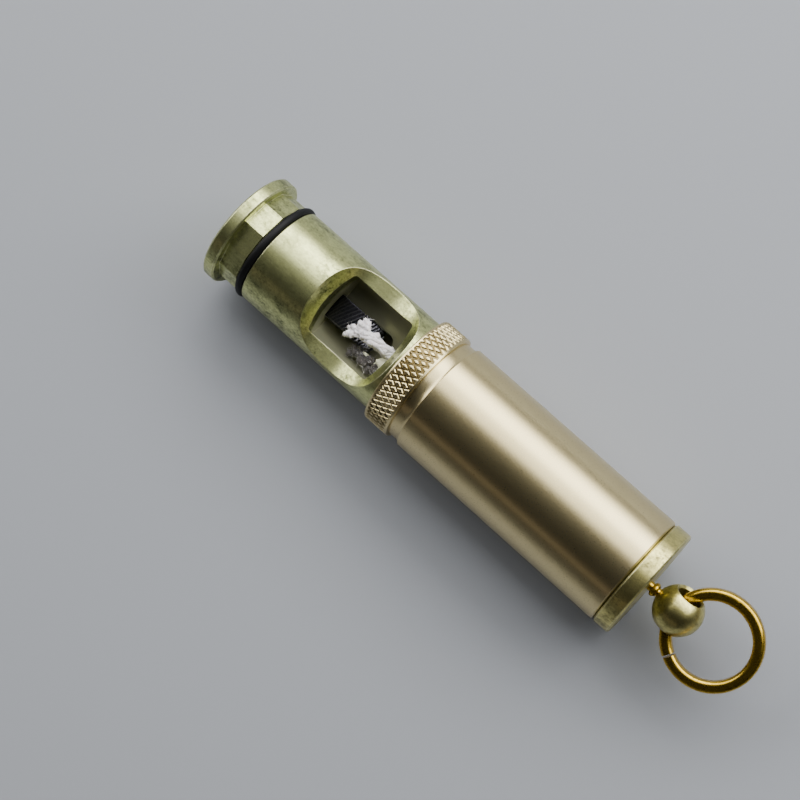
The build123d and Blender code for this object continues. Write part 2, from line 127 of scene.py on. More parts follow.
def add(tree, kind, inputs=(), **settings):
    """Adds one node. inputs maps its sockets to values or to the sockets that feed them."""
    node = tree.nodes.new("ShaderNode" + kind)
    for name, value in settings.items():
        setattr(node, name, value)
    for name, value in dict(inputs).items():
        if isinstance(value, bpy.types.NodeSocket):
            tree.links.new(value, node.inputs[name])
        else:
            node.inputs[name].default_value = value
    return node


def start_finish(name, **sockets):
    """A new material: itself, its nodes, its shader, and the place on the piece in metres."""
    material = bpy.data.materials.new(name)
    material.use_nodes = True
    tree = material.node_tree
    shader = tree.nodes["Principled BSDF"]
    for socket, value in sockets.items():
        shader.inputs[socket.replace("_", " ")].default_value = value
    return material, tree, shader, add(tree, "TexCoord").outputs["Object"]


COLOUR_A, COLOUR_B, COLOUR_OUT = 6, 7, 2
print("mid grey:", [round(value, 3) for value in linear("808080")])

# %% [markdown]
# ## Stains on aged brass
#
# The barrel, flange, cap and ball are turned brass that has been tumbled and then aged. The eye
# gets cloudy olive stains a millimetre or two across, a finer grain inside them, and slow clouds
# that leave some parts cleaner. They could be painted on, but noise at three real sizes gives them
# on every piece with no seams. The noise is drawn out a little along the tube, as turning leaves it.

# %% Stains on aged brass
STAIN_LAYERS = {
    # name: (size in mm, detail, roughness, noise from and to, stain from and to)
    "blotches": (1.5, 8.0, 0.75, (0.46, 0.66), (0.0, 0.75)),
    "grain": (0.32, 3.0, 0.7, (0.44, 0.72), (0.0, 0.55)),
    "clouds": (7, 2.0, 0.5, (0.35, 0.65), (0.5, 1.0)),
}
DRAWN_OUT = (0.75, 1, 1)


def stains(tree, place):
    """How stained each point is, from 0 to 1, and the noise of the finest grain."""
    drawn_out = add(tree, "Mapping", {"Vector": place, "Scale": DRAWN_OUT}).outputs[0]
    noises, layers = {}, {}
    for name, (size, detail, rough, seen, shown) in STAIN_LAYERS.items():
        where = place if name == "clouds" else drawn_out
        pattern = {"Vector": where, "Scale": scale_for(size), "Detail": detail, "Roughness": rough}
        noises[name] = add(tree, "TexNoise", pattern).outputs["Fac"]
        spread = {"From Min": seen[0], "From Max": seen[1], "To Min": shown[0], "To Max": shown[1]}
        layers[name] = add(tree, "MapRange", {"Value": noises[name], **spread}).outputs[0]
    both = add(tree, "Math", {0: layers["blotches"], 1: layers["grain"]}, operation="ADD")
    patina = add(
        tree,
        "Math",
        {0: both.outputs[0], 1: layers["clouds"]},
        operation="MULTIPLY",
        use_clamp=True,
    )
    return patina.outputs[0], noises["grain"]


print("stain layers:", {name: layer[0] for name, layer in STAIN_LAYERS.items()}, "mm")

# %% [markdown]
# ## Smoke in the chamber
#
# The flame sits in the barrel's chamber, and its smoke has left the walls there grey and half dull.
# A separate material would need the walls cut off as their own piece, so instead each point asks
# how deep inside the chamber it is. Each pair below is where the smoke starts and where it is full.

# %% Smoke in the chamber
CHAMBER = (
    # axis, and the two places in mm
    ("x", 13.6, 14.2),
    ("x", 25.6, 25.0),
    ("z", 2.2, 1.6),
    ("across", 4.3, 4.1),
)
SMOKED_METALLIC = 0.62


def smoke(tree, place):
    """1 on the walls of the chamber and 0 elsewhere, with a soft edge."""
    x, y, z = add(tree, "SeparateXYZ", {0: place}).outputs
    across = add(tree, "Math", {0: y}, operation="ABSOLUTE").outputs[0]
    axes = {"x": x, "z": z, "across": across}
    smoky = 1.0
    for axis, start, full in CHAMBER:
        fade = {"Value": axes[axis], "From Min": start * MM, "From Max": full * MM}
        inside = add(tree, "MapRange", fade).outputs[0]
        smoky = add(tree, "Math", {0: smoky, 1: inside}, operation="MULTIPLY").outputs[0]
    return smoky


print("smoke fades over", len(CHAMBER), "walls")

# %% [markdown]
# ## Rubbed edges with a painted highlight, and the aged brass itself
#
# Pockets and keys rub a brass edge bright, and the pale colour put on the edges is also a painted
# highlight. That could be masked by hand, but the true normal and a rounded one differ only near an
# edge, so comparing them finds every edge. The rounded normal also softens the edge's shine. The
# rest is a satin shine, duller where the stains are, and scratches so long and thin that only their
# glint shows. The cap and ball are a warmer brass than the barrel.

# %% Aged brass
BRASSES = {
    # name: (clean tone, stained tone)
    "aged_brass_satin": ("CBCF90", "4B5032"),
    "aged_brass_warm": ("D0C780", "4E4A30"),
}
EDGE_RADIUS = 0.12 * MM
SCRATCHES = {"Rotation": (0.3, 0.2, 0.5), "Scale": (0.12, 3, 3)}


def worn_and_highlit_edges(tree):
    """How rubbed and painted-highlit each edge point is, and the normal with its edges rounded."""
    rounded = add(tree, "Bevel", {"Radius": EDGE_RADIUS}, samples=4).outputs[0]
    true_normal = add(tree, "NewGeometry").outputs["Normal"]
    alike = add(tree, "VectorMath", {0: rounded, 1: true_normal}, operation="DOT_PRODUCT")
    near_edge = {"From Min": 0.985, "From Max": 0.9, "To Min": 0.0, "To Max": 0.75}
    edge_wear_and_highlight = add(tree, "MapRange", {"Value": alike.outputs["Value"], **near_edge})
    return edge_wear_and_highlight.outputs[0], rounded


def aged_brass(name, clean, stained, smoky):
    """Tumbled and aged brass, with smoke in the chamber if it is the barrel's."""
    material, tree, shader, place = start_finish(name, Metallic=1.0)
    patina, grain = stains(tree, place)
    tones = {"Factor": patina, COLOUR_A: linear(clean), COLOUR_B: linear(stained)}
    tone = add(tree, "Mix", tones, data_type="RGBA").outputs[COLOUR_OUT]
    if smoky:
        smoked = smoke(tree, place)
        tones = {"Factor": smoked, COLOUR_A: tone, COLOUR_B: linear("A2A286")}
        tone = add(tree, "Mix", tones, data_type="RGBA").outputs[COLOUR_OUT]
        dulled = {"Value": smoked, "To Min": 1.0, "To Max": SMOKED_METALLIC}
        metallic = add(tree, "MapRange", dulled).outputs[0]
        tree.links.new(metallic, shader.inputs["Metallic"])

    edge_wear_and_highlight, rounded = worn_and_highlit_edges(tree)
    # The pale F0EEC4 on the edges is rubbed brass and also a painted highlight.
    tones = {"Factor": edge_wear_and_highlight, COLOUR_A: tone, COLOUR_B: linear("F0EEC4")}
    tone = add(tree, "Mix", tones, data_type="RGBA").outputs[COLOUR_OUT]
    tree.links.new(tone, shader.inputs["Base Color"])
    satin = add(tree, "MapRange", {"Value": patina, "To Min": 0.29, "To Max": 0.46}).outputs[0]
    tree.links.new(satin, shader.inputs["Roughness"])

    along = add(tree, "Mapping", {"Vector": place, **SCRATCHES}).outputs[0]
    scratches = add(tree, "TexNoise", {"Vector": along, "Scale": scale_for(0.6), "Detail": 1.0})
    relief = add(tree, "Math", {0: grain, 1: scratches.outputs["Fac"]}, operation="ADD").outputs[0]
    bump = {"Height": relief, "Normal": rounded, "Strength": 0.35, "Distance": 0.02 * MM}
    bumped = add(tree, "Bump", bump).outputs[0]
    tree.links.new(bumped, shader.inputs["Normal"])
    return material


brasses = {
    name: aged_brass(name, clean, stained, smoky=name == "aged_brass_satin")
    for name, (clean, stained) in BRASSES.items()
}
print("aged brass:", sorted(brasses))

# %% [markdown]
# ## Satin bronze
#
# The sleeve is a copper-rich bronze, turned and polished to an even satin, then lacquered. The eye
# gets a warm champagne shine with hardly any mottling: only a very fine grain and a few dark specks.
# A real grain of a few hundredths of a millimetre is too fine to show, so it is drawn at 0.12 mm.
# Grime stays in the knurl's grooves, which the mesh marks with an attribute named "worn".

# %% Satin bronze
bronze, tree, shader, place = start_finish("bronze_satin", Metallic=1.0)
fine = {"Vector": place, "Scale": scale_for(0.12), "Detail": 2.0, "Roughness": 0.6}
grain = add(tree, "TexNoise", fine).outputs["Fac"]
drift = add(tree, "TexNoise", {"Vector": place, "Scale": scale_for(9), "Detail": 2.0}).outputs["Fac"]
spotty = {"Vector": place, "Scale": scale_for(0.5), "Detail": 4.0, "Roughness": 0.8}
specks = add(tree, "TexNoise", spotty).outputs["Fac"]
speck = add(tree, "MapRange", {"Value": specks, "From Min": 0.66, "From Max": 0.74}).outputs[0]

worn = add(tree, "Attribute", attribute_name="worn").outputs["Fac"]
tones = {"Factor": drift, COLOUR_A: linear("DACA9A"), COLOUR_B: linear("CCBC8A")}
tone = add(tree, "Mix", tones, data_type="RGBA").outputs[COLOUR_OUT]
tones = {"Factor": speck, COLOUR_A: tone, COLOUR_B: linear("94815F")}
tone = add(tree, "Mix", tones, data_type="RGBA").outputs[COLOUR_OUT]
tones = {"Factor": worn, COLOUR_A: linear("57492F"), COLOUR_B: tone}
tone = add(tree, "Mix", tones, data_type="RGBA").outputs[COLOUR_OUT]
tree.links.new(tone, shader.inputs["Base Color"])
satin = add(tree, "MapRange", {"Value": grain, "To Min": 0.24, "To Max": 0.34}).outputs[0]
tree.links.new(satin, shader.inputs["Roughness"])
bumped = add(tree, "Bump", {"Height": grain, "Strength": 0.2, "Distance": 0.01 * MM}).outputs[0]
tree.links.new(bumped, shader.inputs["Normal"])
print("bronze:", len(tree.nodes), "nodes")

# %% [markdown]
# ## Bright brass, steel and ferrocerium
#
# The key ring is drawn brass wire, nearly polished, so it is golder and sharper than the barrel.
# The small working parts are bright ground steel. The wheel is hardened steel blackened in oil, and
# its teeth are rubbed to bare metal at the tips. The flint is cast ferrocerium, dull and grey. Each
# could have its own long recipe, but they differ only in a few numbers, so one loop makes all four.

# %% Bright brass, steel and ferrocerium
METALS = {
    # name: (light tone, dark tone, roughness low and high, grain in mm, bump in mm)
    "bright_brass_drawn": ("D2AE40", "A68A30", 0.24, 0.32, 0.6, 0.004),
    "bright_steel_ground": ("D2CFC8", "A9A59C", 0.2, 0.32, 0.2, 0.006),
    "blackened_steel_oiled": ("4A4A50", "26262B", 0.38, 0.55, 0.15, 0.01),
    "ferrocerium_cast": ("7A746C", "4C4741", 0.5, 0.7, 0.25, 0.02),
}
BARE_TIPS = "7E7D80"
metals = {}
for name, (light, dark, smooth, rough, grain_mm, bump_mm) in METALS.items():
    metals[name], tree, shader, place = start_finish(name, Metallic=1.0)
    fine = {"Vector": place, "Scale": scale_for(grain_mm), "Detail": 4.0, "Roughness": 0.65}
    grain = add(tree, "TexNoise", fine).outputs["Fac"]
    spread = add(tree, "MapRange", {"Value": grain, "From Min": 0.35, "From Max": 0.7}).outputs[0]
    tones = {"Factor": spread, COLOUR_A: linear(light), COLOUR_B: linear(dark)}
    tone = add(tree, "Mix", tones, data_type="RGBA").outputs[COLOUR_OUT]
    if name == "blackened_steel_oiled":
        worn = add(tree, "Attribute", attribute_name="worn").outputs["Fac"]
        tones = {"Factor": worn, COLOUR_A: tone, COLOUR_B: linear(BARE_TIPS)}
        tone = add(tree, "Mix", tones, data_type="RGBA").outputs[COLOUR_OUT]
    tree.links.new(tone, shader.inputs["Base Color"])
    satin = add(tree, "MapRange", {"Value": spread, "To Min": smooth, "To Max": rough}).outputs[0]
    tree.links.new(satin, shader.inputs["Roughness"])
    bump = {"Height": grain, "Strength": 0.3, "Distance": bump_mm * MM}
    tree.links.new(add(tree, "Bump", bump).outputs[0], shader.inputs["Normal"])
print("metals:", sorted(metals))

# %% [markdown]
# ## Moulded rubber
#
# The seals are moulded nitrile rubber: nearly black and rather matt, with a little grey dust. Plain
# black would lose the ring's roundness, so the shader keeps a faint gloss, and the dust is a noise
# that only shows at its peaks.

# %% Moulded rubber
rubber, tree, shader, place = start_finish("rubber_moulded", Roughness=0.55, IOR=1.52)
shader.inputs["Specular IOR Level"].default_value = 0.2
powder = {"Vector": place, "Scale": scale_for(0.25), "Detail": 5.0, "Roughness": 0.8}
dust = add(tree, "TexNoise", powder).outputs["Fac"]
dusty = add(tree, "MapRange", {"Value": dust, "From Min": 0.6, "From Max": 0.82}).outputs[0]
tones = {"Factor": dusty, COLOUR_A: linear("050506"), COLOUR_B: linear("2E2E30")}
tone = add(tree, "Mix", tones, data_type="RGBA").outputs[COLOUR_OUT]
tree.links.new(tone, shader.inputs["Base Color"])
bumped = add(tree, "Bump", {"Height": dust, "Strength": 0.3, "Distance": 0.02 * MM}).outputs[0]
tree.links.new(bumped, shader.inputs["Normal"])
print("rubber:", len(tree.nodes), "nodes")

# %% [markdown]
# ## Cotton and felt
#
# The wick is loosely spun cotton. It scatters light inside its fibres, so it looks soft and almost
# glows where the light gets in, and it is charred where the flame sits. The wadding and the felt
# behind it are the same kind of fibre, matted. The fibres here are modelled, so the material only
# adds the soft scatter, a light fuzz, fine mottling, and soot where the mesh's "soot" says so.

# %% Cotton and felt
FIBRES = {
    # name: (light tone, dark tone)
    "cotton_spun": ("F0EDEE", "C2B8BC"),
    "felt_pressed": ("D8CFBF", "A89D8B"),
}
CHARRED = "2A2421"
fibres = {}
for name, (light, dark) in FIBRES.items():
    fibres[name], tree, shader, place = start_finish(
        name, Roughness=0.9, IOR=1.53, Sheen_Weight=0.25, Subsurface_Weight=0.15
    )
    shader.inputs["Subsurface Scale"].default_value = 0.4 * MM
    shader.inputs["Subsurface Radius"].default_value = (1.0, 0.8, 0.7)
    matted = {"Vector": place, "Scale": scale_for(0.35), "Detail": 6.0, "Roughness": 0.75}
    tangle = add(tree, "TexNoise", matted).outputs["Fac"]
    shade = add(tree, "MapRange", {"Value": tangle, "From Min": 0.4, "From Max": 0.7}).outputs[0]
    tones = {"Factor": shade, COLOUR_A: linear(light), COLOUR_B: linear(dark)}
    tone = add(tree, "Mix", tones, data_type="RGBA").outputs[COLOUR_OUT]
    if name == "cotton_spun":
        soot = add(tree, "Attribute", attribute_name="soot").outputs["Fac"]
        tones = {"Factor": soot, COLOUR_A: tone, COLOUR_B: linear(CHARRED)}
        tone = add(tree, "Mix", tones, data_type="RGBA").outputs[COLOUR_OUT]
    tree.links.new(tone, shader.inputs["Base Color"])
    bump = {"Height": tangle, "Strength": 0.6, "Distance": 0.08 * MM}
    tree.links.new(add(tree, "Bump", bump).outputs[0], shader.inputs["Normal"])
print("fibres:", sorted(fibres))

# %% [markdown]
# ## Finishes for the CAD pieces
#
# The record says which material each CAD piece has. Most of those pieces have the right shape
# already, so they stay and only change their finish. The finishes could be assigned one piece at
# a time, but a table keyed by the record's own slot names is easy to check against the record.

# %% Finishes for the CAD pieces
FINISHES = {
    "aged_brass": brasses["aged_brass_satin"],
    "bronze": bronze,
    "bright_brass": metals["bright_brass_drawn"],
    "seal_rubber": rubber,
    "blackened_steel": metals["blackened_steel_oiled"],
    "bright_steel": metals["bright_steel_ground"],
    "ferrocerium": metals["ferrocerium_cast"],
    "cotton": fibres["cotton_spun"],
    "felt": fibres["felt_pressed"],
}
SLOT_OF = {
    "aged_brass": "barrel flint_tube wick_plate top_plug end_cap seal_disc swivel_ball",
    "bronze": "slide_sleeve",
    "bright_brass": "key_ring swivel_stem",
    "seal_rubber": "upper_o_ring lower_o_ring end_cap_o_ring",
    "blackened_steel": "flint_wheel",
    "bright_steel": "wheel_axle flint_spring flint_pusher swivel_washer",
    "ferrocerium": "flint",
    "cotton": "wick cotton_wadding",
    "felt": "felt_plug",
}
WARM_PIECES = ("end_cap", "swivel_ball")
for slot_name, names in SLOT_OF.items():
    for name in names.split():
        finish = brasses["aged_brass_warm"] if name in WARM_PIECES else FINISHES[slot_name]
        for material_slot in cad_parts[name].material_slots:
            material_slot.material = finish
finished = sum(len(names.split()) for names in SLOT_OF.values())
print("finished", finished, "of", len(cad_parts), "CAD pieces")

# %% [markdown]
# ## A lathe for pieces with relief
#
# The sleeve and the wheel are turned pieces with fine relief cut into them. A displacement texture
# could fake the relief, but a mesh whose rows and columns run along the cuts gives true edges that
# also survive export. The lathe spins a closed outline about an axis. A second function can push
# each point outwards, and says how worn that point is: 1 on a rubbed crest, 0 down in a groove.


# %% Lathe
def settle(name, mesh, sharp_above):
    """Makes a mesh into a piece: normals outwards, smooth, with sharp edges above an angle."""
    shell = bmesh.new()
    shell.from_mesh(mesh)
    bmesh.ops.recalc_face_normals(shell, faces=shell.faces)
    shell.to_mesh(mesh)
    shell.free()
    mesh.shade_smooth()
    mesh.set_sharp_from_angle(angle=math.radians(sharp_above))
    piece = bpy.data.objects.new(name, mesh)
    bpy.context.scene.collection.objects.link(piece)
    return piece


def lathe(name, outline, columns, to_space, relief):
    """Spins a closed outline of (along, radius) points into a watertight piece."""
    points, wear, faces = [], [], []
    for row, (along, radius) in enumerate(outline):
        here, there = row * columns, (row + 1) % len(outline) * columns
        for column in range(columns):
            angle = 2 * math.pi * column / columns
            push, worn_here = relief(along, radius, angle)
            points.append(to_space(along, radius + push, angle))
            wear.append(worn_here)
            beside = (column + 1) % columns
            faces.append((here + column, here + beside, there + beside, there + column))
    mesh = bpy.data.meshes.new(name)
    mesh.from_pydata(points, [], faces)
    mesh.attributes.new("worn", "FLOAT", "POINT").data.foreach_set("value", wear)
    return settle(name, mesh, sharp_above=32)


def dress(piece, body, slot_name, *nodes):
    """Gives a new piece its finish and its body, and hides the CAD pieces it stands for."""
    piece.data.materials.append(FINISHES[slot_name])
    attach(piece, body)
    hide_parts(*nodes)
    print(piece.name, "rides on", body, "with", len(piece.data.vertices), "points")


# %% [markdown]
# ## The knurl of the sleeve
#
# The open end of the sleeve has a diamond knurl for the thumb. Two crossing sets of grooves, 56 to
# a turn, leave slim lozenges 0.8 mm wide and 1.35 mm long, with a plain lip on each side. The mesh
# has 12 columns and 12 rows to each lozenge, so both sets of grooves pass exactly through its
# points and come out crisp. The sleeve's own ends and crest come from the frame.

# %% Knurl
low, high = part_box("slide_sleeve")
sleeve_start, sleeve_end = low[0], high[0]
knurl_crest = high[2]
knurl_width = 3.45 * MM
knurl_lip = 0.3 * MM
knurl_end = sleeve_start + knurl_width
cut_start = sleeve_start + knurl_lip
cut_end = knurl_end - knurl_lip

lozenge_length = 1.35 * MM
lozenges_round = 56
steps = 12
lozenge_width = 2 * math.pi * knurl_crest / lozenges_round
groove_depth = 0.22 * MM
groove_half_width = 0.17 * MM
groove_spacing = 1 / math.hypot(1 / lozenge_width, 1 / lozenge_length)
groove_run_out = 0.15 * MM
crest_roundness = 0.8
crest_tolerance = 1e-7


def knurl(along, radius, angle):
    """How far a point of the sleeve is pushed by the knurl, and how worn it is."""
    if radius < knurl_crest - crest_tolerance or not cut_start < along < cut_end:
        return 0.0, 1.0
    turned = angle / (2 * math.pi) * lozenges_round
    slid = (along - cut_start) / lozenge_length
    nearest = min(abs(way - round(way)) for way in (turned + slid, turned - slid)) * groove_spacing
    rise = min(nearest / groove_half_width, 1.0)
    fade = min(1.0, (along - cut_start) / groove_run_out, (cut_end - along) / groove_run_out)
    return -groove_depth * (1 - rise**crest_roundness) * fade, 1 - (1 - rise) ** 2 * fade


print("lozenges", round(lozenge_width / MM, 2), "mm wide, grooves", round(groove_spacing / MM, 2))

# %% [markdown]
# ## The sleeve
#
# Behind the knurl come a narrow collar, a concave cove and the plain body. The sleeve is hollow, and
# its bore is wider at the mouth, where it closes over the seal. It could be cut from the CAD piece,
# but the knurl needs rows and columns of its own, so the whole outline is drawn again and spun.
# Outside edges have a third point that rounds them.

# %% Sleeve
body_radius = knurl_crest - 0.1 * MM
collar_radius = body_radius - 0.35 * MM
bore_radius = body_radius - 0.7 * MM
mouth_radius = bore_radius + 0.2 * MM
mouth_end = sleeve_start + 1.35 * MM
chamfer = 0.2 * MM
edge_point = 0.35 * chamfer
cove_start = knurl_end + 0.75 * MM
cove_width = 0.8 * MM
cove_drop = body_radius - chamfer / 2 - collar_radius
cove_steps = 8
body_start = cove_start + cove_width
body_steps = 12

cut_rows = []
while cut_start + len(cut_rows) * lozenge_length / steps < cut_end:
    cut_rows.append((cut_start + len(cut_rows) * lozenge_length / steps, knurl_crest))
cove_angles = [part / cove_steps * math.pi / 2 for part in range(1, cove_steps + 1)]
cove_rows = [
    (cove_start + cove_width * math.sin(angle), collar_radius + cove_drop * (1 - math.cos(angle)))
    for angle in cove_angles
]
body_length = sleeve_end - chamfer - body_start
body_rows = [
    (body_start + body_length * part / body_steps, body_radius) for part in range(body_steps + 1)
]
sleeve_outline = (
    [(sleeve_start, knurl_crest - chamfer), (sleeve_start + edge_point, knurl_crest - edge_point)]
    + [(sleeve_start + chamfer, knurl_crest)]
    + cut_rows
    + [(cut_end, knurl_crest), (knurl_end - chamfer, knurl_crest)]
    + [(knurl_end - edge_point, knurl_crest - edge_point), (knurl_end, knurl_crest - chamfer)]
    + [(knurl_end, collar_radius), ((knurl_end + cove_start) / 2, collar_radius)]
    + [(cove_start, collar_radius)]
    + cove_rows
    + body_rows
    + [(sleeve_end, body_radius - chamfer), (sleeve_end, bore_radius)]
    + [(mouth_end, bore_radius), (mouth_end, mouth_radius), (sleeve_start, mouth_radius)]
)


def about_x(along, radius, angle):
    """A lathe point for a piece turned about the lighter's own axis."""
    return (along, radius * math.sin(angle), radius * math.cos(angle))


sleeve = lathe("sleeve_knurled", sleeve_outline, lozenges_round * steps, about_x, knurl)
dress(sleeve, "sleeve", "bronze", "slide_sleeve")

# %% [markdown]
# ## The flint wheel
#
# The wheel is a small hardened roller. Its rim is cut with fine slanting teeth that scrape sparks
# off the flint, and each flat side is dished around the axle. The teeth are a sawtooth: a steep
# face that bites and a long back. They slant across the width, which the relief gets by starting
# the pattern a little further round on each row of points. Straight teeth would be simpler, but
# the slant is what the eye catches.

# %% Wheel teeth
low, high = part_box("flint_wheel")
wheel_centre = (Vector(low) + Vector(high)) / 2
wheel_radius = (high[0] - low[0]) / 2
wheel_half = (high[1] - low[1]) / 2
wheel_teeth = 42
columns_per_tooth = 9
tooth_depth = 0.22 * MM
tooth_slant = math.radians(28)
tooth_back = 0.78
rim_edge = 0.1 * MM
flat_wear = 0.15
tip_wear_starts = 0.7
tip_wear_gain = 1.6


def teeth(along, radius, angle):
    """The slanting sawtooth of the rim."""
    if radius < wheel_radius - 1.2 * rim_edge:
        return 0.0, flat_wear
    turned = angle + along * math.tan(tooth_slant) / wheel_radius
    way = turned * wheel_teeth / (2 * math.pi)
    way -= math.floor(way)
    height = way / tooth_back if way < tooth_back else (1 - way) / (1 - tooth_back)
    return -tooth_depth * (1 - height), max(0.0, height - tip_wear_starts) * tip_wear_gain


def about_axle(along, radius, angle):
    """A lathe point for a piece turned about the wheel's axle."""
    offset = Vector((radius * math.cos(angle), along, radius * math.sin(angle)))
    return wheel_centre + offset


print("wheel", round(2 * wheel_radius / MM, 2), "mm across,", wheel_teeth, "teeth")

# %% [markdown]
# ## Turning the wheel
#
# The wheel's outline runs along one dished side, across the rim and back along the other side. It
# is spun about the axle with nine columns of points to a tooth, so every tooth has the same shape.
# Each tooth could be cut out of a plain wheel instead, but pushing points keeps the mesh clean.

# %% Flint wheel
hub_radius = 1.5 * MM
axle_hole_radius = 0.65 * MM
dish_floor = wheel_half - 0.25 * MM
dish_edge = wheel_half - 0.05 * MM
rim_steps = 20

side = [
    (dish_floor, axle_hole_radius),
    (dish_floor, hub_radius * 0.8),
    (dish_edge, hub_radius),
    (wheel_half, hub_radius * 1.15),
    (wheel_half, wheel_radius - 3 * rim_edge),
    (wheel_half, wheel_radius - rim_edge),
]
rim_width = 2 * (wheel_half - rim_edge)
rim = [
    (rim_edge - wheel_half + rim_width * part / rim_steps, wheel_radius)
    for part in range(rim_steps + 1)
]
wheel_outline = [(-along, radius) for along, radius in side] + rim + side[::-1]
wheel_columns = wheel_teeth * columns_per_tooth
wheel = lathe("flint_wheel_serrated", wheel_outline, wheel_columns, about_axle, teeth)
dress(wheel, "striker_wheel", "blackened_steel", "flint_wheel")

# %% [markdown]
# ## The flint spring
#
# A coil of steel wire pushes the flint against the wheel. It sits out of sight in the top plug. It
# shortens as the flint is pushed back. It is built as a plain tube round a helix, with its end
# turns wound closer as on a real spring. A curve with a bevel would look the same, but the mesh
# says exactly where its points are.


# %% Tubes
def tube(points, radii, sides):
    """Vertices and faces of a closed tube round a row of points."""
    points = [Vector(point) for point in points]
    vertices, faces = [], []
    across = Vector((0, 0, 1))
    for index, point in enumerate(points):
        ahead = points[min(index + 1, len(points) - 1)] - points[max(index - 1, 0)]
        ahead.normalize()
        across = (across - across.dot(ahead) * ahead).normalized()
        up = ahead.cross(across)
        for side in range(sides):
            angle = 2 * math.pi * side / sides
            vertices.append(point + radii[index] * (math.cos(angle) * across + math.sin(angle) * up))
    for here in range(0, (len(points) - 1) * sides, sides):
        there = here + sides
        for side in range(sides):
            beside = (side + 1) % sides
            faces.append((here + side, here + beside, there + beside, there + side))
    faces.append(tuple(reversed(range(sides))))
    faces.append(tuple(range(len(vertices) - sides, len(vertices))))
    return vertices, faces


print("a square tube of two points has", len(tube([(0, 0, 0), (1, 0, 0)], [1, 1], 4)[1]), "faces")

# %% Flint spring
low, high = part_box("flint_spring")
spring_wire = 0.15 * MM
coil_radius = (high[1] - low[1]) / 2 - spring_wire
coil_start, coil_end = low[0] + spring_wire, high[0] - spring_wire
coil_z = (low[2] + high[2]) / 2
turns, per_turn = 9, 28
end_closing = 0.045

coil_points = []
for step in range(turns * per_turn + 1):
    share = step / (turns * per_turn)
    closed = share - end_closing * math.sin(2 * math.pi * share)
    x = coil_start + (coil_end - coil_start) * closed
    angle = 2 * math.pi * turns * share
    coil_points.append((x, coil_radius * math.cos(angle), coil_z + coil_radius * math.sin(angle)))
mesh = bpy.data.meshes.new("flint_spring_coil")
vertices, faces = tube(coil_points, [spring_wire] * len(coil_points), 10)
mesh.from_pydata(vertices, [], faces)
spring = settle("flint_spring_coil", mesh, sharp_above=60)
dress(spring, "barrel", "bright_steel", "flint_spring")

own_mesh(spring)

# %% [markdown]
# ## The wick's cord
#
# The wick is a bundle of loosely spun yarns that comes through the plate, climbs over the wheel and
# ends in a frayed mop of white cotton, with charred fluff below it where the flame has licked. One
# smooth blob would look like chewing gum, so the wick has three layers: twisted yarns for the cord,
# lumps melted together for the mop and the fluff, and stray fibres on top. From here to the end of
# the wick, sizes are in millimetres until a mesh is made.


# %% Fibre helpers
def along_route(route, share):
    """A point on a smooth curve through a route's points."""
    place = share * (len(route) - 1)
    index = min(int(place), len(route) - 2)
    part = place - index
    around = [max(0, min(len(route) - 1, index + step)) for step in (-1, 0, 1, 2)]
    before, here, there, after = (np.array(route[near], float) for near in around)
    return 0.5 * (
        2 * here
        + (there - before) * part
        + (2 * before - 5 * here + 4 * there - after) * part**2
        + (3 * here - before - 3 * there + after) * part**3
    )


def fibre_mesh(name, strands, sides):
    """One piece from many strands, each (points, radii, soot)."""
    all_vertices, all_faces, soot = [], [], []
    for points, radii, sooty in strands:
        vertices, faces = tube([Vector(p) * MM for p in points], [r * MM for r in radii], sides)
        offset = len(all_vertices)
        all_vertices += vertices
        all_faces += [tuple(index + offset for index in face) for face in faces]
        soot += [sooty] * len(vertices)
    mesh = bpy.data.meshes.new(name)
    mesh.from_pydata(all_vertices, [], all_faces)
    mesh.attributes.new("soot", "FLOAT", "POINT").data.foreach_set("value", soot)
    return settle(name, mesh, sharp_above=80)


cord_route = [
    (30.0, 0, 0),
    (26.0, 0, 0),
    (24.6, 0.05, 0.25),
    (22.6, 0.0, 0.75),
    (20.6, -0.2, 1.25),
    (19.3, -0.25, 1.6),
]
print("the cord ends at", [round(float(value), 2) for value in along_route(cord_route, 1)], "mm")

# %% [markdown]
# ## Twisting the cord
#
# Seven yarns make the cord, one in the middle and six about it. Each is a tube that swells and
# wanders a little, because loosely spun yarn is never even. A single twisted tube would be lighter,
# but the grooves between the yarns are what makes it look like a cord.

# %% Wick cord
yarn_count = 7
yarn_radius = 0.27
yarn_swell = 0.35
yarn_ring = 0.44
yarn_wander = 0.16
cord_twist = 8.0
cord_steps = 60

yarns = []
for yarn in range(yarn_count):
    points, radii = [], []
    ring = 0.0 if yarn == 0 else yarn_ring
    for step in range(cord_steps + 1):
        share = step / cord_steps
        uneven = noise.noise(Vector((share * 9, yarn, 4)))
        angle = 2 * math.pi * yarn / (yarn_count - 1) + share * cord_twist + uneven
        out = ring + yarn_wander * noise.noise(Vector((share * 17, yarn * 3.1, 0)))
        swell = 1 + yarn_swell * noise.noise(Vector((share * 26, yarn * 5.7, 2)))
        aside = np.array((0, out * math.cos(angle), out * math.sin(angle)))
        points.append(along_route(cord_route, share) + aside)
        radii.append(yarn_radius * swell)
    yarns.append((points, radii, 0.0))
cord = fibre_mesh("wick_cord", yarns, 10)
dress(cord, "barrel", "cotton", "wick")

# %% [markdown]
# ## The mop
#
# Frayed cotton has no clear outline: it is lumps of lumps. Small balls are strewn along the frayed
# yarn ends, a voxel remesh melts them into one skin, and noise pulls that skin about. Real strands
# by the thousand would cost far more and look the same at this size. The remesh is done a thousand
# times too big, because it can't use voxels much smaller than a tenth of a millimetre.


# %% Melting lumps
VOXEL = 0.09
ruffle_scale = 1.6
ruffle_smoothness = 0.9
ruffle_step = 2.1
ruffle_layers = 5
patch_scale = 0.9
patch_soot = 0.35


